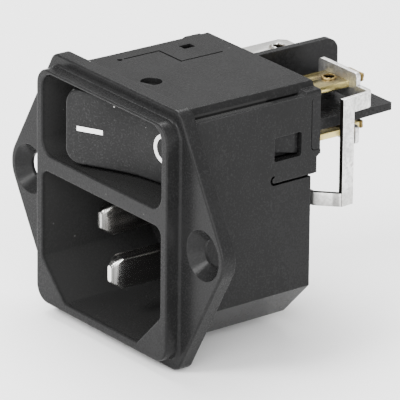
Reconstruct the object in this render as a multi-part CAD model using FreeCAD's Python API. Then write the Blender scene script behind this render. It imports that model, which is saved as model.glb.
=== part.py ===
import FreeCAD, Part
import math
import os

V = FreeCAD.Vector

# ---------------------------------------------------------------- driving sizes (mm)
# X across the two screws, Y into the panel, Z up. Y = 0 is the back of the flange.
HOLE_SPACING = 36.0
HOLE_R = 1.7
SINK_R = 3.2
EAR_R = 4.0
FLANGE_T = 1.9
FLANGE_HALF_H = 16.7
FLANGE_CORNER_R = 1.75
FLANGE_EDGE_R = 0.3
COLLAR_H = 2.1
COLLAR_HALF_W = 13.5
FLANGE_TOP_INSET = 0.522947
COLLAR_INSET_LOW = 1.45
COLLAR_INSET_TOP = 1.4
COLLAR_R = 2.2
COLLAR_EDGE_R = 0.2
COVE_R = 0.4
COLLAR_Z0 = -FLANGE_HALF_H + COLLAR_INSET_LOW
COLLAR_Z1 = FLANGE_HALF_H - COLLAR_INSET_TOP
RIM_Y = -FLANGE_T - COLLAR_H

BODY_HALF_W0 = 13.1
BODY_HALF_W1 = 12.55
ROOF_HALF0 = 10.56
ROOF_HALF1 = 10.54
BODY_INSET_TOP = 1.04
BODY_INSET_LOW = 1.56
BODY_TAPER = 0.04
BODY_TOP0 = FLANGE_HALF_H - BODY_INSET_TOP
BODY_TOP1 = BODY_TOP0 - BODY_TAPER
BODY_BOT0 = -FLANGE_HALF_H + BODY_INSET_LOW
BODY_BOT1 = BODY_BOT0 + BODY_TAPER
ROOF_STEP = 0.58
ROOF_BAND = 0.85
BODY_CHAMFER = 4.97
REAR_Y = 19.82
TONGUE_Y = 19.25
LOWER_REAR_Y = 18.35

# switch well, from the collar down; the bar below it; then the inlet down to the collar
WELL_WALL_TOP = 0.44
WELL_H = 10.61
WELL_HALF_W = 12.35
WELL_R = 2.0
WELL_DRAFT = 0.3
WELL_FLOOR_Y = 2.4
WELL_Z1 = COLLAR_Z1 - WELL_WALL_TOP
WELL_Z0 = WELL_Z1 - WELL_H
BAR_T = 2.12
INLET_HALF_W = 12.3
INLET_WALL_LOW = 1.15
INLET_CHAMFER = 4.7
INLET_DRAFT = 0.25
INLET_FLOOR_Y = 12.5
FLOOR_T = 1.5
INLET_Z0 = COLLAR_Z0 + INLET_WALL_LOW
INLET_Z1 = WELL_Z0 - BAR_T
INLET_MID = (INLET_Z0 + INLET_Z1) / 2

LEDGE_T = 1.2
APERTURE_HALF_W = 10.75
CHAMBER_HALF_W = 11.5
ROOF_T = 1.16
CHAMBER_Z1 = BODY_TOP0 - ROOF_T
POCKET_HALF_W = 11.0
POCKET_INSET_LOW = 0.9
POCKET_INSET_TOP = 0.53

ROCKER_GAP_LOW = 0.53
ROCKER_GAP_TOP = 0.5
ROCKER_Z0 = WELL_Z0 + ROCKER_GAP_LOW
ROCKER_Z1 = WELL_Z1 - ROCKER_GAP_TOP
ROCKER_HALF_L = 9.0
ROCKER_RISE = 1.3
KINK_TO_PIVOT = 3.85
PIVOT_Y = 3.5
ROCKER_WALL = 1.1
ROCKER_CORNER_R = 1.9
REST_TILT = 18.6
TRUNNION_R = 1.3
TRUNNION_SINK = 0.21
TRUNNION_TOP = BODY_TOP0 - TRUNNION_SINK
TRUNNION_FOOT = 0.7
RUNNING_FIT = 0.05
MARK_SINK = 0.3
MARK_PROUD = 0.03

TAB_W = 4.8
TAB_T = 0.8
TAB_X = 6.2
POLE_RISE = 5.7
POLE_Z = WELL_Z0 + POLE_RISE
TAB_DZ = 3.05
TAB_END_Y = 27.1
STUB_END_Y = 30.1
OUT_TAB_END_Y = 30.3
STUB_W = 2.8

LEVER_Y = 9.6
LEVER_T = 0.8
LEVER_HALF_L = 7.0
LEVER_TILT = 6.0
LEVER_W = 1.9
LEVER_GAP_Z = 1.3
CONTACT_R = 1.05
CONTACT_T = 0.6
CONTACT_X = 6.1
FIXED_FACE_Y = 11.05

LUG_R = 0.6
LATCH_GAP = 0.15
SEAM_Y = 0.2
SHOULDER_DROP = 0.66
GROOVE_DROP = 1.04
GROOVE_H = 0.32
GROOVE_END_Y = 18.6
LINE_W = 0.3
LINE_DEPTH = 0.46
CORE_MARK_DEPTH = 0.66
WINDOW_Y = 12.65
WINDOW_L = 4.2
WINDOW_H = 3.08
WINDOW_DROP = 2.83
WINDOW_Z = POLE_Z - WINDOW_DROP
HOOK_Y = 12.75
SLIT_Z = WELL_Z0
SLIT_W = 0.32
HOOK_R = 0.5
LUG_DROP = 2.65
LUG_TOP_GAP = 0.3
LUG_Z0 = POLE_Z - LUG_DROP
LUG_Z1 = CHAMBER_Z1 - LUG_TOP_GAP

PIN_W = 2.0
PIN_H = 4.0
PIN_X = 7.0
PIN_RISE = 2.015
PIN_STEP = 4.0
LINE_PIN_Z = INLET_MID + PIN_RISE
EARTH_PIN_Z = LINE_PIN_Z - PIN_STEP
LINE_TIP_Y = 0.9
EARTH_TIP_Y = -2.6
PIN_BEVEL = 1.4
SHOULDER_T = 1.4
SHOULDER = 0.7
TAIL_H = 2.4

PLATE_T = 1.8
SHELF_END_Y = 31.75
SHELF_T = 1.44
SHELF_Z = POLE_Z - 0.05
WALL_T = 0.95
WALL_X = -0.65
WALL_END_Y = 32.15
WALL_TOP = BODY_TOP1
STRIP_T = 0.6
PAST = 50.0

os.makedirs("parts", exist_ok=True)


# ---------------------------------------------------------------- small helpers
def box(x0, x1, y0, y1, z0, z1):
    return Part.makeBox(x1 - x0, y1 - y0, z1 - z0, V(x0, y0, z0))


def in_xz(y):
    return lambda a, b: V(a, y, b)


def in_xy(z):
    return lambda a, b: V(a, b, z)


def in_yz(x):
    return lambda a, b: V(x, a, b)


def rounded_wire(points, radii, put):
    """Closed wire through 2-D corners, each corner rounded by its own tangent arc."""
    count = len(points)
    corners = []
    for i in range(count):
        ax, ay = points[i - 1]
        bx, by = points[i]
        cx, cy = points[(i + 1) % count]
        la = math.hypot(ax - bx, ay - by)
        lc = math.hypot(cx - bx, cy - by)
        ux, uy = (ax - bx) / la, (ay - by) / la
        wx, wy = (cx - bx) / lc, (cy - by) / lc
        r = radii[i]
        if r <= 0:
            corners.append((points[i], None, points[i]))
            continue
        angle = math.acos(max(-1.0, min(1.0, ux * wx + uy * wy)))
        reach = r / math.tan(angle / 2)
        start = (bx + ux * reach, by + uy * reach)
        end = (bx + wx * reach, by + wy * reach)
        hx, hy = ux + wx, uy + wy
        hl = math.hypot(hx, hy)
        away = r / math.sin(angle / 2) - r
        middle = (bx + hx / hl * away, by + hy / hl * away)
        corners.append((start, middle, end))
    edges = []
    for i in range(count):
        start, middle, end = corners[i]
        if middle is not None:
            edges.append(Part.Arc(put(*start), put(*middle), put(*end)).toShape())
        nxt = corners[(i + 1) % count][0]
        if math.hypot(nxt[0] - end[0], nxt[1] - end[1]) > 1e-6:
            edges.append(Part.makeLine(put(*end), put(*nxt)))
    return Part.Wire(edges)


def plate_y(points, radii, y0, y1):
    wire = rounded_wire(points, radii, in_xz(y0))
    return Part.Face(wire).extrude(V(0, y1 - y0, 0))


def plate_z(points, radii, z0, z1):
    wire = rounded_wire(points, radii, in_xy(z0))
    return Part.Face(wire).extrude(V(0, 0, z1 - z0))


def plate_x(points, radii, x0, x1):
    wire = rounded_wire(points, radii, in_yz(x0))
    return Part.Face(wire).extrude(V(x1 - x0, 0, 0))


def ribbon_outline(path, t, bend_r):
    """Strip of thickness t along a 2-D path, with concentric inside and outside bends."""
    left = []
    right = []
    left_r = []
    right_r = []
    last = len(path) - 1
    for i, (px, py) in enumerate(path):
        if i == 0:
            dx, dy = path[1][0] - px, path[1][1] - py
            length = math.hypot(dx, dy)
            nx, ny = -dy / length, dx / length
            left.append((px + nx * t / 2, py + ny * t / 2))
            right.append((px - nx * t / 2, py - ny * t / 2))
            left_r.append(0)
            right_r.append(0)
            continue
        if i == last:
            dx, dy = px - path[i - 1][0], py - path[i - 1][1]
            length = math.hypot(dx, dy)
            nx, ny = -dy / length, dx / length
            left.append((px + nx * t / 2, py + ny * t / 2))
            right.append((px - nx * t / 2, py - ny * t / 2))
            left_r.append(0)
            right_r.append(0)
            continue
        ax, ay = px - path[i - 1][0], py - path[i - 1][1]
        bx, by = path[i + 1][0] - px, path[i + 1][1] - py
        la, lb = math.hypot(ax, ay), math.hypot(bx, by)
        ax, ay, bx, by = ax / la, ay / la, bx / lb, by / lb
        turn = ax * by - ay * bx
        mx, my = -ay - by, ax + bx
        ml = math.hypot(mx, my)
        mx, my = mx / ml, my / ml
        miter = t / 2 / (mx * -ay + my * ax)
        left.append((px + mx * miter, py + my * miter))
        right.append((px - mx * miter, py - my * miter))
        left_r.append(bend_r if turn > 0 else bend_r + t)
        right_r.append(bend_r + t if turn > 0 else bend_r)
    return left + right[::-1], left_r + right_r[::-1]


def edges_where(shape, test):
    return [e for e in shape.Edges if test(e.BoundBox)]


def on_y(b, y):
    return abs(b.YMin - y) < 1e-3 and abs(b.YMax - y) < 1e-3


def turn_z(shape, centre_y, angle):
    out = shape.copy()
    out.rotate(V(0, centre_y, 0), V(0, 0, 1), angle)
    return out


def flip_pole(shape):
    """The lower pole is the upper pole mirrored about the middle of the switch."""
    return shape.mirror(V(0, 0, POLE_Z), V(0, 0, 1))


def lerp(a, b, y):
    return a + (b - a) * y / REAR_Y


def save(name, shape):
    solids = shape.Solids
    shape = solids[0] if len(solids) == 1 else shape
    print(name, len(solids), shape.isValid(), round(shape.Volume, 2))
    shape.exportStep("parts/" + name + ".step")


# ---------------------------------------------------------------- moulded housing
def flange_outline():
    """Six sides; each sloping side runs from a top corner, tangent to the ear circle."""
    h = FLANGE_HALF_H
    ear_x = HOLE_SPACING / 2
    x_top = COLLAR_HALF_W - FLANGE_TOP_INSET
    to_ear = math.hypot(ear_x - x_top, h)
    slope = math.atan2(h, ear_x - x_top) - math.asin(EAR_R / to_ear)
    nx, nz = math.sin(slope), math.cos(slope)
    apex = ear_x + EAR_R / nx
    points = [(-x_top, h), (x_top, h), (apex, 0), (x_top, -h), (-x_top, -h), (-apex, 0)]
    c = FLANGE_CORNER_R
    return points, [c, c, EAR_R, c, c, EAR_R]


def rect(half_w, z0, z1):
    return [(-half_w, z0), (half_w, z0), (half_w, z1), (-half_w, z1)]


def bezel():
    points, radii = flange_outline()
    flange = plate_y(points, radii, -FLANGE_T, 0)
    rim = edges_where(flange, lambda b: on_y(b, -FLANGE_T))
    flange = flange.makeFillet(FLANGE_EDGE_R, rim)
    collar = plate_y(rect(COLLAR_HALF_W, COLLAR_Z0, COLLAR_Z1), [COLLAR_R] * 4, RIM_Y, -FLANGE_T)
    out = flange.fuse(collar).removeSplitter()
    root = edges_where(out, lambda b: on_y(b, -FLANGE_T) and b.XMax < COLLAR_HALF_W + 0.5
                       and b.XMin > -COLLAR_HALF_W - 0.5 and b.ZMax < COLLAR_Z1 + 0.5
                       and b.ZMin > COLLAR_Z0 - 0.5)
    return out.makeFillet(COVE_R, root)


def body_section(y):
    w = lerp(BODY_HALF_W0, BODY_HALF_W1, y)
    roof = lerp(ROOF_HALF0, ROOF_HALF1, y)
    top = lerp(BODY_TOP0, BODY_TOP1, y)
    bot = lerp(BODY_BOT0, BODY_BOT1, y)
    ledge = top - ROOF_STEP
    half = [(roof, top), (roof + ROOF_BAND, ledge), (w - 0.3, ledge), (w, ledge - 0.3)]
    half += [(w, bot + BODY_CHAMFER), (w - BODY_CHAMFER, bot)]
    points = half + [(-x, z) for x, z in reversed(half)]
    return rounded_wire(points, [0] * len(points), in_xz(y))


def inlet_section(y):
    shrink = INLET_DRAFT * (y - RIM_Y) / (INLET_FLOOR_Y - RIM_Y)
    w = INLET_HALF_W - shrink
    z0 = INLET_Z0 + shrink
    z1 = INLET_Z1 - shrink
    c = INLET_CHAMFER
    points = [(-w, z1), (w, z1), (w, z0 + c), (w - c, z0), (-w + c, z0), (-w, z0 + c)]
    return rounded_wire(points, [1.2, 1.2, 0.6, 0.6, 0.6, 0.6], in_xz(y))


def pocket_outline(grow):
    w = POCKET_HALF_W + grow
    z0 = INLET_Z0 + POCKET_INSET_LOW - grow
    z1 = INLET_Z1 - POCKET_INSET_TOP + grow
    c = 4.5
    points = [(-w, z1), (w, z1), (w, z0 + c), (w - c, z0), (-w + c, z0), (-w, z0 + c)]
    return points, [0.8, 0.8, 0, 0, 0, 0]


def chamber_outline(grow):
    w = CHAMBER_HALF_W + grow
    z0 = WELL_Z0 - grow
    z1 = CHAMBER_Z1 + grow
    return [(-w, z0), (w, z0), (w, z1 - 1.7), (w - 1.35, z1), (-w + 1.35, z1), (-w, z1 - 1.7)]


def housing():
    out = bezel()
    body = Part.makeLoft([body_section(-0.6), body_section(REAR_Y)], True, True)
    out = out.fuse(body).removeSplitter()
    # stepped rear end: inlet part shortest, then the tongue, then the switch block
    low = box(-PAST, PAST, LOWER_REAR_Y, PAST, -PAST, SLIT_Z - 0.1)
    lug_foot = LUG_Z0 - 0.5
    step = plate_x([(TONGUE_Y, 0), (PAST, 0), (PAST, lug_foot), (REAR_Y, lug_foot),
                    (TONGUE_Y, lug_foot - 0.35)], [0] * 5, -PAST, PAST)
    out = out.cut(low).cut(step)
    # inlet cavity and the pocket behind its floor
    cavity = Part.makeLoft([inlet_section(RIM_Y - 0.2), inlet_section(INLET_FLOOR_Y)], True, True)
    out = out.cut(cavity)
    points, radii = pocket_outline(0)
    out = out.cut(plate_y(points, radii, INLET_FLOOR_Y + FLOOR_T, PAST))
    # switch well, its two end ledges and the chamber open to the rear
    mouth = rect(WELL_HALF_W, WELL_Z0, WELL_Z1)
    bottom = rect(WELL_HALF_W - WELL_DRAFT, WELL_Z0, WELL_Z1 - WELL_DRAFT)
    front = rounded_wire(mouth, [WELL_R] * 4, in_xz(RIM_Y - 0.01))
    back = rounded_wire(bottom, [WELL_R, WELL_R, WELL_R + 0.7, WELL_R + 0.7], in_xz(WELL_FLOOR_Y))
    well = Part.makeLoft([front, back], True, True)
    gate = plate_y(rect(APERTURE_HALF_W, WELL_Z0, WELL_Z1 - WELL_DRAFT), [0.5] * 4,
                   WELL_FLOOR_Y - 0.5, WELL_FLOOR_Y + LEDGE_T)
    chamber = plate_y(chamber_outline(0), [0] * 6, WELL_FLOOR_Y + LEDGE_T, PAST)
    out = out.cut(well).cut(gate).cut(chamber)
    rim = edges_where(out, lambda b: on_y(b, RIM_Y))
    out = out.makeFillet(COLLAR_EDGE_R, rim)
    # trunnion bearings: blind below the rocker, right through the roof above it
    foot = WELL_Z0 - TRUNNION_FOOT
    bearing = Part.makeCylinder(TRUNNION_R + RUNNING_FIT, PAST, V(0, PIVOT_Y, foot - 0.1), V(0, 0, 1))
    out = out.cut(bearing)
    # contact pin openings in the inlet floor
    for x, z in ((-PIN_X, LINE_PIN_Z), (PIN_X, LINE_PIN_Z), (0, EARTH_PIN_Z)):
        out = out.cut(box(x - PIN_W / 2, x + PIN_W / 2, INLET_FLOOR_Y - 1, INLET_FLOOR_Y + FLOOR_T + 1,
                          z - PIN_H / 2, z + PIN_H / 2))
    # countersunk screw holes
    for side in (-1, 1):
        x = side * HOLE_SPACING / 2
        out = out.cut(Part.makeCylinder(HOLE_R, PAST, V(x, RIM_Y, 0), V(0, 1, 0)))
        depth = SINK_R - HOLE_R
        out = out.cut(Part.makeCone(SINK_R, HOLE_R, depth, V(x, -FLANGE_T, 0), V(0, 1, 0)))
    inner, outer_x = CHAMBER_HALF_W - 0.5, BODY_HALF_W0 + 0.9
    for side in (-1, 1):
        # latch window for the rear cover
        y0, y1 = WINDOW_Y, WINDOW_Y + WINDOW_L
        z0, z1 = WINDOW_Z, WINDOW_Z + WINDOW_H
        window = plate_x([(y0, z0), (y1, z0), (y1, z1), (y0, z1)], [0.3] * 4, inner, outer_x)
        # notch in the rear edge that takes the cover lug
        notch = plate_x([(LOWER_REAR_Y, LUG_Z0), (PAST, LUG_Z0), (PAST, LUG_Z1),
                         (LOWER_REAR_Y, LUG_Z1)], [LUG_R, 0, 0, LUG_R], inner, outer_x)
        # parting slit, with its front end turned up and back in a small hook
        deep = CHAMBER_HALF_W + 0.6
        slit = box(deep, outer_x, HOOK_Y, PAST, SLIT_Z - SLIT_W / 2, SLIT_Z + SLIT_W / 2)
        centre = V(deep, HOOK_Y, SLIT_Z + HOOK_R)
        outer = Part.makeCylinder(HOOK_R + SLIT_W / 2, outer_x - deep, centre, V(1, 0, 0))
        inside = Part.makeCylinder(HOOK_R - SLIT_W / 2, outer_x - deep, centre, V(1, 0, 0))
        hook = outer.cut(inside).common(box(deep - 0.1, outer_x, HOOK_Y - 1.25, HOOK_Y,
                                            SLIT_Z - 1.25, SLIT_Z + 2.25))
        # sloped shoulder beside the roof, with a dark groove undercut along its foot
        x0, top = ROOF_HALF0, BODY_TOP0
        ledge = plate_y([(x0, top + 0.04), (x0 + 0.49, top - SHOULDER_DROP),
                         (outer_x, top - SHOULDER_DROP), (outer_x, top + 1), (x0, top + 1)],
                        [0] * 5, SEAM_Y, PAST)
        lip, floor = top - GROOVE_DROP, top - GROOVE_DROP - GROOVE_H
        groove = plate_y([(x0, top + 0.04), (x0 + 0.64, lip + 0.02), (x0 + 0.49, lip + 0.02),
                          (x0 + 0.49, floor), (x0 + 1.04, floor), (x0 + 1.14, lip),
                          (outer_x, lip), (outer_x, top + 1), (x0, top + 1)], [0] * 9,
                         SEAM_Y, GROOVE_END_Y)
        keep = plate_x([(SEAM_Y, top - 1.66), (GROOVE_END_Y - 2, top - 1.66),
                        (GROOVE_END_Y, top + 0.14), (GROOVE_END_Y, top + 2), (SEAM_Y, top + 2)],
                       [0] * 5, x0 - 0.5, outer_x)
        groove = groove.common(keep)
        for cutter in (window, notch, slit, hook, ledge, groove):
            tool = cutter if side > 0 else cutter.mirror(V(0, 0, 0), V(1, 0, 0))
            out = out.cut(tool)
    # parting line of the roof slider and a square core mark
    line = LINE_W
    far_x, near_x, turn_y, cut = -8.6, -3.7, 10.97, BODY_TOP0 - LINE_DEPTH
    for x0, x1, y0, y1 in ((far_x, far_x + line, 5.5, turn_y), (far_x, near_x, turn_y - line, turn_y),
                           (near_x - line, near_x, turn_y - line, 17.1)):
        out = out.cut(box(x0, x1, y0, y1, cut, BODY_TOP0 + 1))
    out = out.cut(Part.makeCylinder(0.36, 2, V(far_x + line / 2, 4.9, cut), V(0, 0, 1)))
    core = BODY_TOP0 - CORE_MARK_DEPTH
    out = out.cut(box(-8.46, -7.21, 13.79, 15.49, core, BODY_TOP0 + 1))
    return out


# ---------------------------------------------------------------- rear cover
def rear_cover():
    gap = -0.1
    front = LOWER_REAR_Y - 0.75
    points = chamber_outline(gap)
    out = plate_y(points, [0] * 6, front, front + PLATE_T)
    # plug that runs forward inside the chamber and carries the latch arms
    for side in (-1, 1):
        x0, x1 = CHAMBER_HALF_W - 1.05, CHAMBER_HALF_W - LATCH_GAP
        y0, y1 = WINDOW_Y + 0.1, WINDOW_Y + WINDOW_L - 0.1
        z0, z1 = WINDOW_Z + 0.13, WINDOW_Z + WINDOW_H - 0.15
        arm = box(x0, x1, y0 - 0.75, front + 0.5, z0, z1)
        nub = plate_z([(x1 - 0.1, y0), (x1 + 0.1, y0), (x1 + 0.6, y1 - 0.75), (x1 + 0.6, y1),
                       (x1 - 0.1, y1)], [0] * 5, z0 - 0.05, z1)
        under = plate_x([(y0 - 0.05, z0 - 0.25), (y1 + 0.15, z0 - 0.25), (y1 + 0.15, z0),
                         (y0 - 0.05, z0 + 0.8)], [0] * 4, x1, x1 + 1)
        nub = nub.cut(under)
        z0, z1 = LUG_Z0 + 0.03, LUG_Z1 - 0.03
        y0, y1 = LOWER_REAR_Y + 0.16, REAR_Y - 0.05
        lug = plate_x([(y0, z0), (y1, z0), (y1, z1), (y0, z1)], [LUG_R - 0.05, 0, 0, LUG_R - 0.05],
                      CHAMBER_HALF_W - 0.5, BODY_HALF_W1 - 0.03)
        lug = lug.fuse(box(CHAMBER_HALF_W - 1.1, CHAMBER_HALF_W - 0.11, front + 0.5, y1,
                           z0, z1 - 1.5))
        piece = arm.fuse(nub).fuse(lug)
        if side < 0:
            piece = piece.mirror(V(0, 0, 0), V(1, 0, 0))
        out = out.fuse(piece)
    # terminal seats between the two rows of tabs
    seat_z0 = POLE_Z - TAB_DZ + TAB_T / 2
    seat_z1 = POLE_Z + TAB_DZ - TAB_T / 2
    pad_back = FIXED_FACE_Y + CONTACT_T + TAB_T
    out = out.fuse(box(3.4, 9.0, pad_back, front + 0.2, seat_z0, seat_z1))
    seat = box(-9.0, -1.0, 12.9, front + 0.2, seat_z0, seat_z1)
    seat = seat.cut(box(-8.0, -2.0, 12.0, 16.4, seat_z0 + 1, seat_z1 - 1))
    out = out.fuse(seat)
    # shelf between the rows, thinner toward its rear edge
    end = SHELF_END_Y
    half = SHELF_T / 2
    low, high = SHELF_Z - half, SHELF_Z + half
    shelf_w = CHAMBER_HALF_W - 0.1
    shelf = plate_x([(front + 1, low), (REAR_Y, low), (end, low + 0.37), (end, high - 0.17),
                     (REAR_Y, high), (front + 1, high)], [0] * 6, -shelf_w, shelf_w)
    corners = [e for e in shelf.Edges if abs(e.BoundBox.YMin - end) < 1e-3
               and e.BoundBox.ZLength > 0.5 and e.BoundBox.XLength < 0.1]
    shelf = shelf.makeFillet(0.3, corners)
    out = out.fuse(shelf)
    # upright barrier between left and right tabs, with a short foot below the shelf
    wx0, wx1 = WALL_X - WALL_T / 2, WALL_X + WALL_T / 2
    end = WALL_END_Y
    wall = plate_x([(front + 1, SHELF_Z + 0.3), (end, SHELF_Z + 0.3), (end, WALL_TOP),
                    (REAR_Y + 0.03, WALL_TOP), (REAR_Y + 0.03, CHAMBER_Z1 - 0.15),
                    (front + 1, CHAMBER_Z1 - 0.15)],
                   [0, 0, 1.7, 0, 0, 0], wx0, wx1)
    foot_y, foot_z = TAB_END_Y - 0.9, WELL_Z0 + 0.65
    foot = plate_x([(front + 1, foot_z), (foot_y, foot_z), (foot_y, SHELF_Z - 0.3),
                    (front + 1, SHELF_Z - 0.3)], [0, 1.0, 0, 0], wx0, wx1)
    rib = plate_x([(REAR_Y - 0.6, high - 0.22), (REAR_Y + 2.4, high - 0.22),
                   (REAR_Y - 0.6, high + 2.58)], [0] * 3, -shelf_w + 0.1, -shelf_w + 0.9)
    out = out.fuse(wall).fuse(foot).fuse(rib).removeSplitter()
    # slots for the four tabs
    for sx in (-1, 1):
        for sz in (-1, 1):
            zc = POLE_Z + sz * TAB_DZ
            xc = sx * TAB_X
            out = out.cut(box(xc - TAB_W / 2, xc + TAB_W / 2, front - 0.5, front + PLATE_T + 0.5,
                              zc - TAB_T / 2, zc + TAB_T / 2))
    return out


# ---------------------------------------------------------------- rocker and its marks
def rocker_outline(inset):
    """Cross-section at level tilt: two faces meeting in a soft valley, ends swept by the pivot."""
    kink = PIVOT_Y - KINK_TO_PIVOT
    end_r = math.hypot(ROCKER_HALF_L, KINK_TO_PIVOT + ROCKER_RISE)
    return kink, end_r - inset


def rocker_solid(inset, y_back, z0, z1):
    kink, end_r = rocker_outline(inset)
    lean = math.atan2(ROCKER_RISE, ROCKER_HALF_L)
    far = 12.0
    front = kink + inset
    rise = far * math.tan(lean)
    points = [(-far, front - rise), (0, front), (far, front - rise), (far, y_back), (-far, y_back)]
    slab = plate_z(points, [0, 12.0, 0, 0, 0], z0, z1)
    drum = Part.makeCylinder(end_r, z1 - z0, V(0, PIVOT_Y, z0), V(0, 0, 1))
    return slab.common(drum)


def marks():
    """Bar for on, ring for off; each is a pad let into the face of its own half."""
    kink = PIVOT_Y - KINK_TO_PIVOT
    lean = math.degrees(math.atan2(ROCKER_RISE, ROCKER_HALF_L))
    zc = POLE_Z - 0.5
    bar = box(-7.6, -4.05, kink - MARK_PROUD, kink + MARK_SINK, zc - 0.3, zc + 0.3)
    bar = turn_z(bar, kink, lean)
    xr = 5.55
    ring = Part.makeCylinder(2.0, MARK_SINK + MARK_PROUD, V(xr, kink - MARK_PROUD, zc), V(0, 1, 0))
    ring = ring.cut(Part.makeCylinder(1.48, 2, V(xr, kink - 1, zc), V(0, 1, 0)))
    ring = turn_z(ring, kink, -lean)
    return bar, ring


def plunger_z():
    return POLE_Z + LEVER_GAP_Z / 2 + LEVER_W / 2


def rocker():
    out = rocker_solid(0, 4.05, ROCKER_Z0, ROCKER_Z1)
    ends = [e for e in out.Edges if e.BoundBox.ZLength < 1e-3 and e.BoundBox.YLength > 3
            and abs(e.CenterOfMass.x) > 9]
    out = out.makeFillet(ROCKER_CORNER_R, ends)
    face_rim = [e for e in out.Edges if e.BoundBox.YMin < -0.2 and e.BoundBox.YMax < 0.2]
    out = out.makeFillet(0.35, face_rim)
    hollow = rocker_solid(ROCKER_WALL, 6.0, ROCKER_Z0 + ROCKER_WALL, ROCKER_Z1 - ROCKER_WALL)
    out = out.cut(hollow)
    mid = (ROCKER_Z0 + ROCKER_Z1) / 2
    out = out.fuse(box(-2.3, 2.3, 0.3, 4.6, ROCKER_Z0, ROCKER_Z1))
    out = out.fuse(box(-1.9, 1.9, 4.0, 7.6, POLE_Z - 3.1, POLE_Z + 3.1))
    for x in (-5.6, 5.6):
        out = out.fuse(box(x - 0.4, x + 0.4, 0.0, 3.4, ROCKER_Z0 + 0.5, ROCKER_Z1 - 0.5))
    foot, tip = WELL_Z0 - TRUNNION_FOOT, TRUNNION_TOP
    trunnion = Part.makeCylinder(TRUNNION_R, tip - foot, V(0, PIVOT_Y, foot), V(0, 0, 1))
    ramp = plate_x([(PIVOT_Y - 0.45, tip), (PIVOT_Y + 1.6, tip - 1.3), (PIVOT_Y + 1.6, tip + 2),
                    (PIVOT_Y - 0.45, tip + 2)], [0] * 4, -2, 2)
    out = out.fuse(trunnion.cut(ramp))
    for zc in (plunger_z(), 2 * POLE_Z - plunger_z()):
        out = out.cut(Part.makeCylinder(1.0, 8, V(0, 1.2, zc), V(0, 1, 0)))
    out = out.removeSplitter()
    bar, ring = marks()
    out = out.cut(bar).cut(ring)
    return out


def plunger():
    """Sliding pin with a ball end, at the length it has in mid travel."""
    r = 1.0 - RUNNING_FIT
    tip = LEVER_Y - LEVER_T / 2 - 0.25
    body = Part.makeCylinder(r, tip - 0.8 - 5.0, V(0, 5.0, plunger_z()), V(0, 1, 0))
    nose = Part.makeSphere(r, V(0, tip - r, plunger_z()))
    keep = Part.makeCylinder(2, 2, V(0, tip - 1.4, plunger_z()), V(0, 1, 0))
    out = body.fuse(nose.common(keep)).removeSplitter()
    return out


def spring():
    turns = 5
    y0, y1 = 1.45, 4.85
    wire_r = 0.14
    coil_r = 0.54
    helix = Part.makeHelix((y1 - y0) / turns, y1 - y0, coil_r)
    start = V(coil_r, 0, 0)
    pitch = (y1 - y0) / turns
    tangent = V(0, 2 * math.pi * coil_r, pitch)
    circle = Part.Wire([Part.Circle(start, tangent, wire_r).toShape()])
    sweep = Part.Wire(helix).makePipeShell([circle], True, True)
    sweep.rotate(V(0, 0, 0), V(1, 0, 0), -90)
    sweep.translate(V(0, y0, plunger_z()))
    return sweep


# ---------------------------------------------------------------- contact levers and buttons
def lever():
    lift = 3.2 * math.tan(math.radians(12))
    path = [(-LEVER_HALF_L, LEVER_Y - lift + 0.45), (-3.2, LEVER_Y - lift), (0, LEVER_Y),
            (3.2, LEVER_Y - lift), (LEVER_HALF_L, LEVER_Y - lift + 0.45)]
    points, radii = ribbon_outline(path, LEVER_T, 0.5)
    z0 = POLE_Z + LEVER_GAP_Z / 2
    out = plate_z(points, radii, z0, z0 + LEVER_W)
    ear = box(-0.45, 0.45, LEVER_Y - 0.4, LEVER_Y + 0.4, z0 + LEVER_W - 0.2, z0 + LEVER_W + 1.15)
    return out.fuse(ear).removeSplitter()


def moving_contact():
    lift = 3.2 * math.tan(math.radians(12))
    slope = math.atan2(0.45, LEVER_HALF_L - 3.2)
    back = LEVER_Y - lift + (CONTACT_X - 3.2) * math.tan(slope) + LEVER_T / 2 / math.cos(slope)
    disc = Part.makeCylinder(CONTACT_R, CONTACT_T, V(CONTACT_X, back, plunger_z()), V(0, 1, 0))
    rim = [e for e in disc.Edges if on_y(e.BoundBox, back + CONTACT_T)]
    disc = disc.makeFillet(0.2, rim)
    disc.rotate(V(CONTACT_X, back, 0), V(0, 0, 1), math.degrees(slope))
    return disc


def fixed_contact():
    disc = Part.makeCylinder(CONTACT_R, CONTACT_T, V(TAB_X, FIXED_FACE_Y, plunger_z()), V(0, 1, 0))
    rim = [e for e in disc.Edges if on_y(e.BoundBox, FIXED_FACE_Y)]
    return disc.makeFillet(0.2, rim)


# ---------------------------------------------------------------- terminals
def input_terminal():
    """Tab bent down inside to carry the fixed contact; its stub passes through the link."""
    zc = POLE_Z + TAB_DZ
    y_pad = FIXED_FACE_Y + CONTACT_T + TAB_T / 2
    path = [(TAB_END_Y, zc), (y_pad, zc), (y_pad, plunger_z() - 1.25)]
    points, radii = ribbon_outline(path, TAB_T, 0.0001)
    radii = [0 if r < 0.001 else r for r in radii]
    out = plate_x(points, radii, TAB_X - TAB_W / 2, TAB_X + TAB_W / 2)
    stub = [(TAB_X - STUB_W / 2, TAB_END_Y - 0.2), (TAB_X - STUB_W / 2, STUB_END_Y),
            (TAB_X + STUB_W / 2, STUB_END_Y), (TAB_X + STUB_W / 2, TAB_END_Y - 0.2)]
    out = out.fuse(plate_z(stub, [0, 0.5, 0.5, 0], zc - TAB_T / 2, zc + TAB_T / 2))
    hole = Part.makeCylinder(0.7, 2, V(TAB_X, TAB_END_Y - 1.25, zc - 1), V(0, 0, 1))
    return out.cut(hole).removeSplitter()


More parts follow.
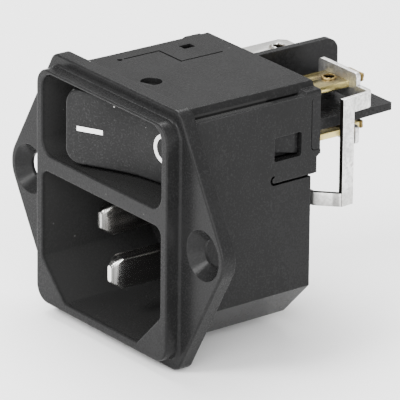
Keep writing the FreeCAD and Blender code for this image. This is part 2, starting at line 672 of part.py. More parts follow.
def output_terminal():
    """Tab with a locating hole; inside it widens to the fork that holds the lever."""
    z0 = POLE_Z + TAB_DZ - TAB_T / 2
    z1 = z0 + TAB_T
    w = TAB_W / 2
    end = OUT_TAB_END_Y
    points = [(-TAB_X - w, 12.6), (-TAB_X - w, end), (-TAB_X + w, end), (-TAB_X + w, 16.4),
              (1.6, 16.4), (1.6, 9.0), (0.7, 9.0), (0.7, 10.05), (-0.7, 10.05), (-0.7, 9.0),
              (-1.6, 9.0), (-1.6, 12.6)]
    radii = [0.5, 0, 0, 0.5, 1.0, 0, 0, 0.3, 0.3, 0, 0, 0.5]
    out = plate_z(points, radii, z0, z1)
    chamfers = [e for e in out.Edges if abs(e.BoundBox.YMin - end) < 1e-3 and e.BoundBox.ZLength > 0.5]
    out = out.makeChamfer(1.0, chamfers)
    lead = [e for e in out.Edges if on_y(e.BoundBox, end)]
    out = out.makeChamfer(0.25, lead)
    hole = Part.makeCylinder(0.7, 3, V(-TAB_X, end - 2.8, z0 - 1), V(0, 0, 1))
    return out.cut(hole)


# ---------------------------------------------------------------- inlet pins
def pin_blade(x, z, tip, back):
    half_w, half_h = PIN_W / 2, PIN_H / 2
    large = [(x - half_w, z - half_h), (x + half_w, z - half_h),
             (x + half_w, z + half_h), (x - half_w, z + half_h)]
    sections = []
    for back, inset_w, inset_h, r in ((0, 0.62, 0.95, 0.36), (0.4, 0.32, 0.5, 0.5), (PIN_BEVEL, 0, 0, 0.3)):
        w, h = half_w - inset_w, half_h - inset_h
        corners = [(x - w, z - h), (x + w, z - h), (x + w, z + h), (x - w, z + h)]
        sections.append(rounded_wire(corners, [r] * 4, in_xz(tip + back)))
    nose = Part.makeLoft(sections, True, True)
    blade = plate_y(large, [0.3] * 4, tip + PIN_BEVEL, INLET_FLOOR_Y)
    root = plate_y(large, [0] * 4, INLET_FLOOR_Y, INLET_FLOOR_Y + FLOOR_T)
    y0 = INLET_FLOOR_Y + FLOOR_T
    shoulder = box(x - 1.7, x + 1.7, y0, y0 + SHOULDER_T, z - 2.7, z + 2.7)
    return nose.fuse(blade).fuse(root).fuse(shoulder)


def live_pin(x, back):
    y0 = INLET_FLOOR_Y + FLOOR_T + SHOULDER_T
    tail = box(x - PIN_W / 2, x + PIN_W / 2, y0, back, LINE_PIN_Z - TAIL_H / 2,
               LINE_PIN_Z + TAIL_H / 2)
    ends = [e for e in tail.Edges if on_y(e.BoundBox, back)]
    tail = tail.makeChamfer(0.3, ends)
    return pin_blade(x, LINE_PIN_Z, LINE_TIP_Y, back).fuse(tail).removeSplitter()


def earth_pin():
    y0 = INLET_FLOOR_Y + FLOOR_T + SHOULDER_T
    back = 26.2
    w = TAB_W / 2
    tab = plate_z([(-w, y0), (-w, back), (w, back), (w, y0)], [0] * 4,
                  EARTH_PIN_Z - TAB_T / 2, EARTH_PIN_Z + TAB_T / 2)
    corners = [e for e in tab.Edges if abs(e.BoundBox.YMin - back) < 1e-3 and e.BoundBox.ZLength > 0.5]
    tab = tab.makeChamfer(0.9, corners)
    tab = tab.cut(Part.makeCylinder(0.7, 3, V(0, back - 2.8, EARTH_PIN_Z - 1), V(0, 0, 1)))
    return pin_blade(0, EARTH_PIN_Z, EARTH_TIP_Y, back).fuse(tab).removeSplitter()


def pin_retainer():
    y0 = INLET_FLOOR_Y + FLOOR_T + SHOULDER_T
    points, radii = pocket_outline(-0.1)
    out = plate_y(points, radii, y0, LOWER_REAR_Y - 0.25)
    top = INLET_Z1 - POCKET_INSET_TOP
    for z in (top - 2.2, top - 1.0):
        out = out.cut(box(-9.8, 9.8, y0 + 1.4, PAST, z - 0.25, z + 0.25))
    for x in (-PIN_X, PIN_X):
        out = out.cut(box(x - PIN_W / 2, x + PIN_W / 2, y0 - 1, PAST,
                          LINE_PIN_Z - TAIL_H / 2, LINE_PIN_Z + TAIL_H / 2))
    out = out.cut(box(-TAB_W / 2, TAB_W / 2, y0 - 1, PAST,
                      EARTH_PIN_Z - TAB_T / 2, EARTH_PIN_Z + TAB_T / 2))
    return out


# ---------------------------------------------------------------- links from pins to switch
def line_link():
    """One folded strip: plate on the tab stub, round the corner, down the side, in to the pin."""
    t = STRIP_T
    y_plate = TAB_END_Y + t / 2
    z_tab = POLE_Z + TAB_DZ
    z_low, z_high = z_tab - 1.75, z_tab + 0.2
    z_leg = INLET_Z1 - 2.78
    z_end = LINE_PIN_Z - 1.93
    run = [(2.5, y_plate), (12.55, y_plate), (13.0, 22.65)]
    points, radii = ribbon_outline(run, t, 0.5)
    out = plate_z(points, radii, z_low, z_high)
    head = plate_y([(2.5, z_low), (10.1, z_low), (10.1, z_tab + 1.75), (2.5, z_tab + 1.75)], [0, 0, 0.5, 0.5],
                   TAB_END_Y, TAB_END_Y + t)
    out = out.fuse(head)
    down = plate_z(points, radii, z_leg, z_high).common(box(12.0, 15, 20, 24.5, z_leg, z_high))
    leg_path = [(13.0, 23.2), (12.97, 22.75), (10.52, 20.3), (5.4, 20.3)]
    leg_points, leg_radii = ribbon_outline(leg_path, t, 0.4)
    leg = plate_z(leg_points, leg_radii, z_leg, z_leg + 1.7)
    foot = plate_y([(5.4, z_end), (8.6, z_end), (8.6, z_leg + 1.7), (5.4, z_leg + 1.7)], [0.5, 0.5, 0, 0.5],
                   20.3 - t / 2, 20.3 + t / 2)
    out = out.fuse(down).fuse(leg).fuse(foot).removeSplitter()
    zc = POLE_Z + TAB_DZ
    out = out.cut(box(TAB_X - STUB_W / 2, TAB_X + STUB_W / 2, TAB_END_Y - 1, TAB_END_Y + 2,
                      zc - TAB_T / 2, zc + TAB_T / 2))
    out = out.cut(box(PIN_X - PIN_W / 2, PIN_X + PIN_W / 2, 19, 22,
                      LINE_PIN_Z - TAIL_H / 2, LINE_PIN_Z + TAIL_H / 2))
    return out


def neutral_link():
    """Flat link across the back: plate on the lower tab, run to the left, down to the pin."""
    t = STRIP_T
    y0 = TAB_END_Y
    zt = POLE_Z - TAB_DZ
    z_end = LINE_PIN_Z - 1.93
    points = [(10.1, zt - 1.4), (10.1, zt + 1.0), (-2.2, zt + 1.0), (-2.2, zt - 1.6),
              (-9.0, zt - 1.6), (-9.0, z_end), (-5.0, z_end), (-5.0, zt - 3.5), (0.4, zt - 3.5),
              (2.2, zt - 1.4)]
    out = plate_y(points, [0.5, 0.5, 0.6, 0.6, 1.2, 0.8, 0.8, 0.8, 0.8, 0.8], y0, y0 + t)
    zc = POLE_Z - TAB_DZ
    out = out.cut(box(TAB_X - STUB_W / 2, TAB_X + STUB_W / 2, TAB_END_Y - 1, TAB_END_Y + 2,
                      zc - TAB_T / 2, zc + TAB_T / 2))
    out = out.cut(box(-PIN_X - PIN_W / 2, -PIN_X + PIN_W / 2, TAB_END_Y - 1,
                      TAB_END_Y + 2,
                      LINE_PIN_Z - TAIL_H / 2, LINE_PIN_Z + TAIL_H / 2))
    return out


# ---------------------------------------------------------------- build every piece
save("housing", housing())
save("rear_cover", rear_cover())

bar_mark, ring_mark = marks()
save("rocker", turn_z(rocker(), PIVOT_Y, REST_TILT))
save("mark_on", turn_z(bar_mark, PIVOT_Y, REST_TILT))
save("mark_off", turn_z(ring_mark, PIVOT_Y, REST_TILT))

for pole, place in (("upper", lambda s: s), ("lower", flip_pole)):
    save(pole + "_plunger", place(turn_z(plunger(), PIVOT_Y, REST_TILT)))
    save(pole + "_spring", place(turn_z(spring(), PIVOT_Y, REST_TILT)))
    save(pole + "_lever", place(turn_z(lever(), LEVER_Y, -LEVER_TILT)))
    save(pole + "_moving_contact", place(turn_z(moving_contact(), LEVER_Y, -LEVER_TILT)))
    save(pole + "_fixed_contact", place(fixed_contact()))
    save(pole + "_input_tab", place(input_terminal()))
    save(pole + "_output_tab", place(output_terminal()))

save("line_pin", live_pin(PIN_X, 21.6))
save("neutral_pin", live_pin(-PIN_X, 28.6))
save("earth_pin", earth_pin())
save("pin_retainer", pin_retainer())
save("line_link", line_link())
save("neutral_link", neutral_link())
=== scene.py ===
import math
import bpy
from mathutils import Matrix, Vector


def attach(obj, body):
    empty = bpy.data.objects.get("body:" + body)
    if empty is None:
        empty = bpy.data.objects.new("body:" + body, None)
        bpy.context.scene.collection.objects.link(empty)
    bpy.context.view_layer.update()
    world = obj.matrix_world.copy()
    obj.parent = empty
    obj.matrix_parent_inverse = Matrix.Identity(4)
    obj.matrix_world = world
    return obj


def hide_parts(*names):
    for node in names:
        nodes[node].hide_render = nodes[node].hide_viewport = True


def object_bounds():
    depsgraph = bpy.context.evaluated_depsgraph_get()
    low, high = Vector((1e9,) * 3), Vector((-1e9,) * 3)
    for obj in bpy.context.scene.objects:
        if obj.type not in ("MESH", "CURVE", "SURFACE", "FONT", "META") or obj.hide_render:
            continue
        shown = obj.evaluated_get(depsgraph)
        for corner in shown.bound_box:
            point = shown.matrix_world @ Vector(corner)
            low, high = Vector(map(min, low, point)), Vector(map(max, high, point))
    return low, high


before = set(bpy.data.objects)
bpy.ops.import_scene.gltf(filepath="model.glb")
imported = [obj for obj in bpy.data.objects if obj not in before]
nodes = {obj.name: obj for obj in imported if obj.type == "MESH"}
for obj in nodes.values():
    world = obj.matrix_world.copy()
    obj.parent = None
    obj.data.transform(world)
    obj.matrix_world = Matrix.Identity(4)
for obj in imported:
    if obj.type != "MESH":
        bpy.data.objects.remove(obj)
cad_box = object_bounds()
bpy.ops.object.select_all(action="DESELECT")

# ---------------------------------------------------------------------------
# Housing. One injection-moulded piece of black glass-filled plastic, with the
# flange, the collar, the inlet cavity and the switch chamber in one shot. The
# mould is spark-eroded outside, so the skin is satin with a very fine grain.
# ---------------------------------------------------------------------------


def feed(tree, socket, value):
    """Links a socket to another one, or sets its plain value."""
    if isinstance(value, bpy.types.NodeSocket):
        tree.links.new(value, socket)
    else:
        socket.default_value = value


def add_node(tree, kind, inputs=None, **settings):
    node = tree.nodes.new("ShaderNode" + kind)
    for name, value in settings.items():
        setattr(node, name, value)
    for key, value in (inputs or {}).items():
        feed(tree, node.inputs[key], value)
    return node


def ramp(tree, value, low, high, out_low=0.0, out_high=1.0):
    node = add_node(tree, "MapRange", {"Value": value, "From Min": low, "From Max": high,
                                       "To Min": out_low, "To Max": out_high}, clamp=True)
    return node.outputs["Result"]


def blend_colour(tree, amount, first, second):
    factor, colour_a, colour_b, colour_out = 0, 6, 7, 2
    node = add_node(tree, "Mix", {factor: amount, colour_a: first, colour_b: second},
                    data_type="RGBA")
    return node.outputs[colour_out]


def maths(tree, operation, first, second=0.0):
    return add_node(tree, "Math", {0: first, 1: second}, operation=operation).outputs[0]


def product(tree, *factors):
    result = factors[0]
    for factor in factors[1:]:
        result = maths(tree, "MULTIPLY", result, factor)
    return result


def position(tree):
    return add_node(tree, "TexCoord").outputs["Object"]


def split(tree, vector):
    return add_node(tree, "SeparateXYZ", {"Vector": vector}).outputs


def grain(tree, scale, detail=2.0, rough=0.5, stretch=None):
    place = position(tree)
    if stretch:
        place = add_node(tree, "Mapping", {"Vector": place, "Scale": stretch}).outputs["Vector"]
    node = add_node(tree, "TexNoise", {"Vector": place, "Scale": scale, "Detail": detail,
                                       "Roughness": rough})
    return node.outputs["Fac"]


def tinted(colour, factor, lift=0.0):
    return [min(1, c * factor + lift) for c in colour] + [1]


def new_material(name):
    material = bpy.data.materials.new(name)
    material.use_nodes = True
    tree = material.node_tree
    tree.nodes.clear()
    shader = add_node(tree, "BsdfPrincipled")
    add_node(tree, "OutputMaterial", {"Surface": shader.outputs["BSDF"]})
    return material, tree, shader


def bevel_and_painted_light_masks(tree, radius, low, high):
    """A softened normal, a mask of the outer edges that carries a painted edge highlight, and
    how open each spot lies, which carries painted corner shade.
    """
    reach = 0.0014
    soft = add_node(tree, "Bevel", {"Radius": radius}, samples=6).outputs["Normal"]
    flat = add_node(tree, "NewGeometry").outputs["Normal"]
    lean = add_node(tree, "VectorMath", {0: soft, 1: flat}, operation="DOT_PRODUCT")
    # the occlusion term keeps the painted edge highlight off the inner corners
    corner = add_node(tree, "AmbientOcclusion", {"Distance": reach}, samples=16).outputs["AO"]
    edge_highlight_mask = product(tree, ramp(tree, lean.outputs["Value"], high, low),
                   ramp(tree, corner, 0.90, 0.99))
    return soft, edge_highlight_mask, corner


def inside_openings(tree, place):
    """1 on the walls of the inlet cavity and the switch well, 0 elsewhere."""
    half_width, bottom, top = 0.01238, -0.01418, 0.01492
    mouth, rim, depth = -0.0039, -0.0034, 0.01255
    cut_corner = 0.0223
    x, y, z = split(tree, place)
    across = maths(tree, "ABSOLUTE", x)
    return product(tree, maths(tree, "LESS_THAN", across, half_width),
                   maths(tree, "GREATER_THAN", z, bottom), maths(tree, "LESS_THAN", z, top),
                   ramp(tree, y, mouth, rim), maths(tree, "LESS_THAN", y, depth),
                   maths(tree, "LESS_THAN", maths(tree, "SUBTRACT", across, z), cut_corner))


def dust_specks(tree, place, dusty):
    """Round specks of mixed size; dusty is the share of the cells that hold one."""
    spots = add_node(tree, "TexVoronoi", {"Vector": place, "Scale": 900.0})
    chance, width, strength = add_node(tree, "SeparateColor",
                                       {"Color": spots.outputs["Color"]}).outputs
    size = ramp(tree, width, 0.0, 1.0, 0.03, 0.13)
    return product(tree, maths(tree, "LESS_THAN", spots.outputs["Distance"], size),
                   maths(tree, "LESS_THAN", chance, dusty),
                   ramp(tree, strength, 0.0, 1.0, 0.25, 1.0))


def moulded_plastic(name, colour, rough, grain_scale, grain_depth, edge_radius, dust=0.5,
                    dusty=0.035, gloss=0.07, painted_cavity_light=None, speckle=0.55):
    painted_corner_shade, dust_colour = [0.0015, 0.0015, 0.0015, 1], [0.34, 0.34, 0.33, 1]
    flow_depth = 0.00001
    material, tree, shader = new_material(name)
    soft, edge_highlight_mask, corner = bevel_and_painted_light_masks(tree, edge_radius, 0.80, 0.995)
    cloud = grain(tree, 120, 4, 0.6)
    skin = grain(tree, grain_scale, 3, 0.65)
    flow = grain(tree, 300, 2, 0.5, stretch=(0.16, 0.05, 1.0))
    tone = blend_colour(tree, ramp(tree, cloud, 0.3, 0.7), tinted(colour, 0.84),
                        tinted(colour, 1.18))
    # the spark-eroded skin holds a little pale mould bloom in its pits
    tone = blend_colour(tree, ramp(tree, skin, 0.52, 0.74, 0.0, speckle), tone,
                        tinted(colour, 2.4, 0.003))
    # painted highlight: the outer edges are painted lighter along their rims
    tone = blend_colour(tree, product(tree, edge_highlight_mask, 0.7), tone, tinted(colour, 3.0, 0.012))
    # painted shade: enclosed inner corners are painted near black where the occlusion term is
    # low
    tone = blend_colour(tree, ramp(tree, corner, 0.15, 0.60, 0.9, 0.0), tone, painted_corner_shade)
    place = position(tree)
    if painted_cavity_light:
        # inside the two openings the skin is painted paler: painted fill light in the inlet
        # cavity and the switch well
        tone = blend_colour(tree, inside_openings(tree, place), tone,
                            [painted_cavity_light, painted_cavity_light, painted_cavity_light * 0.99, 1])
    tone = blend_colour(tree, product(tree, dust_specks(tree, place, dusty), dust), tone,
                        dust_colour)
    feed(tree, shader.inputs["Base Color"], tone)
    level = maths(tree, "ADD", ramp(tree, cloud, 0.25, 0.75, rough - 0.05, rough + 0.06),
                  ramp(tree, skin, 0.3, 0.7, -0.05, 0.05))
    feed(tree, shader.inputs["Roughness"], level)
    shader.inputs["IOR"].default_value = 1.5
    shader.inputs["Specular IOR Level"].default_value = gloss
    bump = add_node(tree, "Bump", {"Strength": 0.6, "Distance": grain_depth, "Height": skin,
                                   "Normal": soft})
    wave = add_node(tree, "Bump", {"Strength": 0.35, "Distance": flow_depth, "Height": flow,
                                   "Normal": bump.outputs["Normal"]})
    feed(tree, shader.inputs["Normal"], wave.outputs["Normal"])
    return material


def dress(name, material):
    node = nodes[name]
    node.data.materials.clear()
    node.data.materials.append(material)


black_moulding = moulded_plastic(
    "black_moulding", colour=(0.0098, 0.0098, 0.0099), rough=0.27, grain_scale=4200,
    grain_depth=0.000025, edge_radius=0.00014, painted_cavity_light=0.0175)
dress("housing", black_moulding)

# ---------------------------------------------------------------------------
# Rear cover and pin retainer. Same plastic from smoother, polished moulds, so
# they are a little glossier. The cover snaps into the side windows.
# ---------------------------------------------------------------------------
smooth_moulding = moulded_plastic(
    "smooth_moulding", colour=(0.0090, 0.0090, 0.0092), rough=0.27, grain_scale=2800,
    grain_depth=0.000012, edge_radius=0.00012, dust=0.4, gloss=0.09)
dress("rear_cover", smooth_moulding)
dress("pin_retainer", smooth_moulding)

# ---------------------------------------------------------------------------
# Rocker. Moulded in black with a slightly coarser erosion on its face, and it
# turns on two short trunnions. The bar and the ring are white second-shot pads.
# ---------------------------------------------------------------------------
rocker_moulding = moulded_plastic(
    "rocker_moulding", colour=(0.0135, 0.0135, 0.0136), rough=0.40, grain_scale=4600,
    grain_depth=0.00004, edge_radius=0.00020, dust=0.9, dusty=0.14, speckle=0.9)
dress("rocker", rocker_moulding)


def second_shot(name):
    material, tree, shader = new_material(name)
    cloud = grain(tree, 900, 3, 0.6)
    tone = blend_colour(tree, ramp(tree, cloud, 0.35, 0.7), [0.80, 0.80, 0.79, 1],
                        [0.90, 0.90, 0.89, 1])
    feed(tree, shader.inputs["Base Color"], tone)
    shader.inputs["Roughness"].default_value = 0.5
    bump = add_node(tree, "Bump", {"Strength": 0.3, "Distance": 0.00001, "Height": cloud})
    feed(tree, shader.inputs["Normal"], bump.outputs["Normal"])
    return material


white_mark = second_shot("white_mark")
dress("mark_on", white_mark)
dress("mark_off", white_mark)

# ---------------------------------------------------------------------------
# Sheet-metal parts. Blanked from strip, so every edge has a small radius from
# the press; the skin is tinned or bare brass and has fine rolling lines.
# ---------------------------------------------------------------------------
input_hole, output_hole = (0.0062, 0.02585), (-0.0062, 0.0275)


def oxide_ring_and_painted_hole_shade(tree, tone, crystal, centre, spread):
    """The wall of the hole is painted near black as painted shade, and oxide spreads round it.
    """
    wall, rim, ragged_by = 0.00074, 0.0010, 0.0005
    x, y, z = split(tree, position(tree))
    away = maths(tree, "SQRT", maths(
        tree, "ADD", maths(tree, "POWER", maths(tree, "SUBTRACT", x, centre[0]), 2.0),
        maths(tree, "POWER", maths(tree, "SUBTRACT", y, centre[1]), 2.0)))
    ragged = maths(tree, "ADD", away, ramp(tree, crystal, 0.3, 0.7, -ragged_by, ragged_by))
    tone = blend_colour(tree, ramp(tree, ragged, rim, spread, 0.85, 0.0), tone,
                        [0.085, 0.050, 0.018, 1])
    # painted shade: the wall of the hole is painted near black
    return blend_colour(tree, maths(tree, "LESS_THAN", away, wall), tone,
                        [0.010, 0.007, 0.004, 1])


def painted_leg_shade(tree, tone):
    """Faces of the long leg that face the front, and upward faces low on it, painted near black
    as painted shade; the lower leg darker towards its foot.
    """
    leg_x, below_z, darker_low_z = (0.0124, 0.0126), 0.0013, (0.0006, 0.0018)
    place = add_node(tree, "TexCoord")
    x, y, z = split(tree, place.outputs["Object"])
    nx, ny, nz = split(tree, place.outputs["Normal"])
    front = product(tree, ramp(tree, ny, -0.55, -0.8), ramp(tree, x, *leg_x))
    top = product(tree, ramp(tree, nz, 0.55, 0.8), maths(tree, "LESS_THAN", z, below_z))
    tone = blend_colour(tree, ramp(tree, z, *darker_low_z, 0.55, 0.0), tone, [0.34, 0.335, 0.32, 1])
    return blend_colour(tree, maths(tree, "MAXIMUM", front, top), tone,
                        [0.028, 0.026, 0.023, 1])


def turned_tip_with_painted_shade(tree, tone, normal, tip_end):
    """Faint turning marks on a pin's tapered tip, painted shade on the taper and on the shank
    behind the lit tip, and the tail left at full tone.
    """
    pitch, fade, tail_y, ring_depth = 0.00020, 0.00020, (0.0125, 0.0140), 0.00001
    nose_y = (tip_end - 0.0011, tip_end - 0.0003)
    shank_shade = (0.42, 0.41, 0.40, 1)
    x, y, z = split(tree, position(tree))
    turn = maths(tree, "SINE", product(tree, y, 2 * math.pi / pitch))
    tip = ramp(tree, y, tip_end, tip_end + fade, 1.0, 0.0)
    left_unshaded = maths(tree, "MAXIMUM", tip, ramp(tree, y, *tail_y))
    # painted shadow: behind tip_end the pin is painted darker, as if the rim shaded it
    tone = blend_colour(tree, left_unshaded, shank_shade, tone)
    nx, ny, nz = split(tree, add_node(tree, "TexCoord").outputs["Normal"])
    # painted shade: the taper, but not the front face, painted dark, with faint turning marks
    # in it
    taper_shade = product(tree, tip, ramp(tree, ny, -0.93, -0.86),
                    ramp(tree, turn, -0.8, 0.8, 0.86, 1.0), ramp(tree, y, *nose_y, 0.90, 0.30))
    tone = blend_colour(tree, taper_shade, tone, [0.020, 0.020, 0.019, 1])
    normal = add_node(tree, "Bump", {"Strength": 0.12, "Distance": ring_depth,
                                     "Height": product(tree, turn, tip), "Normal": normal})
    return tone, normal.outputs["Normal"]


def strip_metal(name, light, dark, rough, stretch=(1.0, 1.0, 1.0), blotch=0.5,
                line_depth=0.000012, frost=0.0, tip_end=None, hole=None, oxide=0.0,
                shade_the_leg=False):
    edge_radius, line_scale, crystal_depth = 0.0001, 2600, 0.00003
    material, tree, shader = new_material(name)
    soft, edge_highlight_mask, corner = bevel_and_painted_light_masks(tree, edge_radius, 0.75, 0.99)
    cloud = grain(tree, 420, 4, 0.62)
    lines = grain(tree, line_scale, 2, 0.6, stretch=stretch)
    crystal = grain(tree, 2300, 3, 0.7)
    tone = blend_colour(tree, ramp(tree, cloud, 0.42, 0.70), light + (1,), dark + (1,))
    tone = blend_colour(tree, ramp(tree, crystal, 0.42, 0.66, 0.0, frost), tone,
                        tinted(light, 0.55))
    # painted highlight: the outer edges are painted lighter, a glint along the pressed edges
    tone = blend_colour(tree, product(tree, edge_highlight_mask, 0.5), tone, tinted(light, 1.12))
    shader.inputs["Metallic"].default_value = 1.0
    level = maths(tree, "ADD", ramp(tree, lines, 0.3, 0.7, rough - 0.04, rough + 0.05),
                  ramp(tree, cloud, 0.35, 0.7, 0.0, 0.12 * blotch))
    level = maths(tree, "ADD", level, ramp(tree, crystal, 0.35, 0.65, 0.0, 0.14 * frost))
    feed(tree, shader.inputs["Roughness"], level)
    normal = soft
    for strength, depth, height in ((0.3, line_depth, lines), (0.35, line_depth * 1.6, cloud),
                                    (0.6 * frost, crystal_depth, crystal)):
        normal = add_node(tree, "Bump", {"Strength": strength, "Distance": depth,
                                         "Height": height, "Normal": normal}).outputs["Normal"]
    if hole:
        tone = oxide_ring_and_painted_hole_shade(tree, tone, crystal, hole, oxide)
    # painted shade on the faces of the link's leg
    if shade_the_leg:
        tone = painted_leg_shade(tree, tone)
    if tip_end is not None:
        tone, normal = turned_tip_with_painted_shade(tree, tone, normal, tip_end)
    feed(tree, shader.inputs["Base Color"], tone)
    feed(tree, shader.inputs["Normal"], normal)
    return material


tinned_strip = strip_metal("tinned_strip", (0.80, 0.795, 0.78), (0.56, 0.555, 0.54), 0.33,
                           (1.0, 0.06, 0.4), frost=1.0, shade_the_leg=True)
# tip_end sets where the painted shadow on each pin begins, behind the lit tip
live_pin_tin, earth_pin_tin = [
    strip_metal(name, (0.80, 0.79, 0.77), (0.66, 0.65, 0.62), 0.20, (1.0, 0.05, 1.0),
                blotch=0.2, line_depth=0.0000015, tip_end=tip_end)
    for name, tip_end in (("live_pin_tin", 0.00225), ("earth_pin_tin", -0.00125))]
tinned_tab = strip_metal("tinned_tab", (0.92, 0.915, 0.89), (0.62, 0.61, 0.58), 0.26,
                         (1.0, 0.05, 1.0), frost=0.6, hole=output_hole, oxide=0.0013)
brass_strip = strip_metal("brass_strip", (0.53, 0.44, 0.175), (0.28, 0.22, 0.08), 0.20,
                          (1.0, 0.06, 1.0), blotch=0.8, hole=input_hole, oxide=0.0022)


def press_edges(name, material, body, radius):
    """A CAD piece copied, welded and given the small rounded edges that the press leaves."""
    bpy.ops.object.select_all(action="DESELECT")
    source = nodes[name]
    piece = bpy.data.objects.new(name + "_finished", source.data.copy())
    bpy.context.scene.collection.objects.link(piece)
    piece.data.materials.clear()
    piece.data.materials.append(material)
    bpy.context.view_layer.objects.active = piece
    piece.select_set(True)
    bpy.ops.object.mode_set(mode="EDIT")
    bpy.ops.mesh.select_all(action="SELECT")
    bpy.ops.mesh.remove_doubles(threshold=0.000002)
    bpy.ops.mesh.dissolve_limited(angle_limit=math.radians(1.0))
    bpy.ops.object.mode_set(mode="OBJECT")
    edges = piece.modifiers.new("pressed_edges", "BEVEL")
    edges.width = radius
    edges.segments = 3
    edges.limit_method = "ANGLE"
    edges.angle_limit = math.radians(32)
    edges.use_clamp_overlap = True
    bpy.ops.object.modifier_apply(modifier=edges.name)
    bpy.ops.object.shade_smooth_by_angle(angle=math.radians(30))
    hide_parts(name)
    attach(piece, body)


for name in ("line_link", "neutral_link"):
    press_edges(name, tinned_strip, "base", 0.00010)
for name in ("line_pin", "neutral_pin"):
    press_edges(name, live_pin_tin, "base", 0.00008)
press_edges("earth_pin", earth_pin_tin, "base", 0.00008)
for name in ("upper_output_tab", "lower_output_tab"):
    press_edges(name, tinned_tab, "base", 0.00010)
for name in ("upper_input_tab", "lower_input_tab"):
    press_edges(name, brass_strip, "base", 0.00010)
for name in ("upper_lever", "lower_lever"):
    dress(name, brass_strip)

# ---------------------------------------------------------------------------
# Burrs and staked ends. The punch throws up a ragged lip round each tab hole,
# and the stubs are peened over the link plates, which leaves them burnt brown.
# ---------------------------------------------------------------------------
burnt_brass = strip_metal("burnt_brass", (0.26, 0.185, 0.07), (0.020, 0.012, 0.005), 0.34,
                          blotch=1.0, line_depth=0.00004, frost=1.0)
burnt_tin = strip_metal("burnt_tin", (0.62, 0.61, 0.58), (0.10, 0.09, 0.08), 0.30,
                        blotch=1.0, frost=0.8)


def round_off(piece, label, levels):
    smooth = piece.modifiers.new(label, "SUBSURF")
    smooth.levels = smooth.render_levels = levels
    bpy.ops.object.modifier_apply(modifier=smooth.name)
    bpy.ops.object.shade_smooth()


def raised_lip(name, x, y, z, material, slot, height, seed):
    """A ring turned up round a hole of 1.4 mm, closed on itself, then roughened."""
    bore, sunk, roughened = 0.00071, z - 0.00004, 0.00014
    bpy.ops.object.select_all(action="DESELECT")
    bpy.ops.mesh.primitive_circle_add(vertices=28, radius=bore, location=(0, 0, 0))
    lip = bpy.context.object
    lip.name = name
    bpy.ops.object.mode_set(mode="EDIT")
    bpy.ops.mesh.select_all(action="SELECT")
    bpy.ops.transform.translate(value=(x, y, sunk))
    radius, level = bore, sunk
    for next_radius, next_level in ((0.00073, z + height), (0.00083, z + height * 1.1),
                                    (0.00092, z + height * 0.4), (0.00110, sunk),
                                    (bore, sunk)):
        bpy.ops.mesh.extrude_edges_move(
            TRANSFORM_OT_translate={"value": (0, 0, next_level - level)})
        grow = next_radius / radius
        bpy.ops.transform.resize(value=(grow, grow, 1), center_override=(x, y, next_level))
        radius, level = next_radius, next_level
    bpy.ops.mesh.select_all(action="SELECT")
    bpy.ops.mesh.remove_doubles(threshold=0.000002)
    bpy.ops.mesh.normals_make_consistent(inside=False)
    bpy.ops.transform.vertex_random(offset=roughened, uniform=0.6, normal=0.3, seed=seed)
    bpy.ops.object.mode_set(mode="OBJECT")
    round_off(lip, "worn_lip", 1)
    lip.data.materials.append(material)
    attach(lip, "base")


upper_face, lower_face = 0.0134, 0.0073
raised_lip("upper_input_lip", *input_hole, upper_face, burnt_brass, "brass_strip", 0.00020, 3)
raised_lip("lower_input_lip", *input_hole, lower_face, burnt_brass, "brass_strip", 0.00020, 5)
raised_lip("upper_output_lip", *output_hole, upper_face, burnt_tin, "tinned_brass", 0.00024, 7)
raised_lip("lower_output_lip", *output_hole, lower_face, burnt_tin, "tinned_brass", 0.00024, 9)


def peened_end(name, y, z, seed):
    """The mushroomed end of a stub: a block pulled out, rounded and hammered uneven."""
    stub_x, block, hammered = 0.0062, (0.0031, 0.00046, 0.00105), 0.00014
    bpy.ops.object.select_all(action="DESELECT")
    bpy.ops.mesh.primitive_cube_add(size=1, location=(0, 0, 0))
    end = bpy.context.object
    end.name = name
    bpy.ops.object.mode_set(mode="EDIT")
    bpy.ops.mesh.select_all(action="SELECT")
    bpy.ops.transform.resize(value=block)
    bpy.ops.transform.translate(value=(stub_x, y, z))
    bpy.ops.mesh.subdivide(number_cuts=3)
    bpy.ops.transform.vertex_random(offset=hammered, uniform=0.3, normal=0.3, seed=seed)
    bpy.ops.object.mode_set(mode="OBJECT")
    round_off(end, "hammered", 2)
    end.data.materials.append(burnt_brass)
    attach(end, "base")


peened_end("upper_peened_end", 0.02992, 0.0130, 11)
peened_end("lower_peened_end", 0.02992, 0.0069, 13)

# ---------------------------------------------------------------------------
# Switch works inside the chamber: silver-faced buttons riveted to the levers
# and tabs, steel plunger springs and natural-coloured plungers.
# ---------------------------------------------------------------------------
silver_face = strip_metal("silver_face", (0.88, 0.87, 0.85), (0.74, 0.73, 0.71), 0.25)
spring_wire = strip_metal("spring_wire", (0.62, 0.62, 0.62), (0.5, 0.5, 0.5), 0.28)
natural_moulding = moulded_plastic(
    "natural_moulding", colour=(0.60, 0.58, 0.52), rough=0.42, grain_scale=3000,
    grain_depth=0.00001, edge_radius=0.0001, dust=0.0)
for pole in ("upper", "lower"):
    dress(pole + "_moving_contact", silver_face)
    dress(pole + "_fixed_contact", silver_face)
    dress(pole + "_spring", spring_wire)
    dress(pole + "_plunger", natural_moulding)

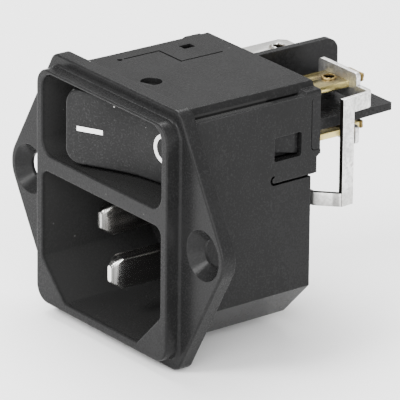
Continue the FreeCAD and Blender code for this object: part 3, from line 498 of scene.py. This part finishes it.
# ---------------------------------------------------------------------------
# Studio. A pale floor in a pale room, a small soft light high in front, a wide
# fill from the front right, and two weaker ones from the right and from above.
# ---------------------------------------------------------------------------
floor_size, floor_gap = 6, 0.0002
bpy.ops.mesh.primitive_plane_add(size=1.0, location=(0, 0, 0))
floor = bpy.context.object
floor.name = "studio_floor"
bpy.ops.object.mode_set(mode="EDIT")
bpy.ops.transform.resize(value=(floor_size, floor_size, 1))
bpy.ops.transform.translate(value=(0, 0, cad_box[0][2] - floor_gap))
bpy.ops.object.mode_set(mode="OBJECT")
pale, tree, shader = new_material("pale_paper")
shader.inputs["Base Color"].default_value = (0.93, 0.93, 0.93, 1)
shader.inputs["Roughness"].default_value = 0.9
floor.data.materials.append(pale)


def soft_light(name, place, aim, size, power):
    bpy.ops.object.light_add(type="AREA", location=place)
    lamp = bpy.context.object
    lamp.name = name
    lamp.data.shape = "RECTANGLE"
    lamp.data.size, lamp.data.size_y = size
    lamp.data.energy = power
    lamp.visible_camera = False
    lamp.rotation_euler = (Vector(aim) - Vector(place)).to_track_quat("-Z", "Y").to_euler()


soft_light("key_light", (0.01, -0.52, 0.48), aim=(0, 0, 0), size=(0.24, 0.24), power=6.0)
soft_light("side_light", (0.60, 0.22, 0.14), aim=(0, 0.02, 0), size=(0.4, 0.5), power=1.3)
soft_light("front_fill", (0.64, -0.50, 0.30), aim=(0, 0, 0), size=(0.9, 0.9), power=18.0)
soft_light("top_light", (-0.28, 0.14, 0.62), aim=(0, 0.02, 0), size=(0.5, 0.5), power=11.0)
world = bpy.data.worlds.new("pale_room")
bpy.context.scene.world = world
world.use_nodes = True
world.node_tree.nodes["Background"].inputs["Color"].default_value = (1, 1, 1, 1)
world.node_tree.nodes["Background"].inputs["Strength"].default_value = 0.8

eye = Vector((0.54655, -0.39562, 0.25946))
ahead = Vector((-0.749269, 0.557456, -0.357545))
up = Vector((-0.292992, 0.205151, 0.933846))
bpy.ops.object.camera_add(location=eye)
camera = bpy.context.object
camera.name = "camera"
side = ahead.cross(up).normalized()
up = side.cross(ahead).normalized()
camera.rotation_euler = Matrix((side, up, -ahead)).transposed().to_euler()
camera.data.lens = 535.58
camera.data.sensor_width = 36.0
camera.data.clip_start = 0.01
camera.data.clip_end = 20.0
bpy.context.scene.camera = camera
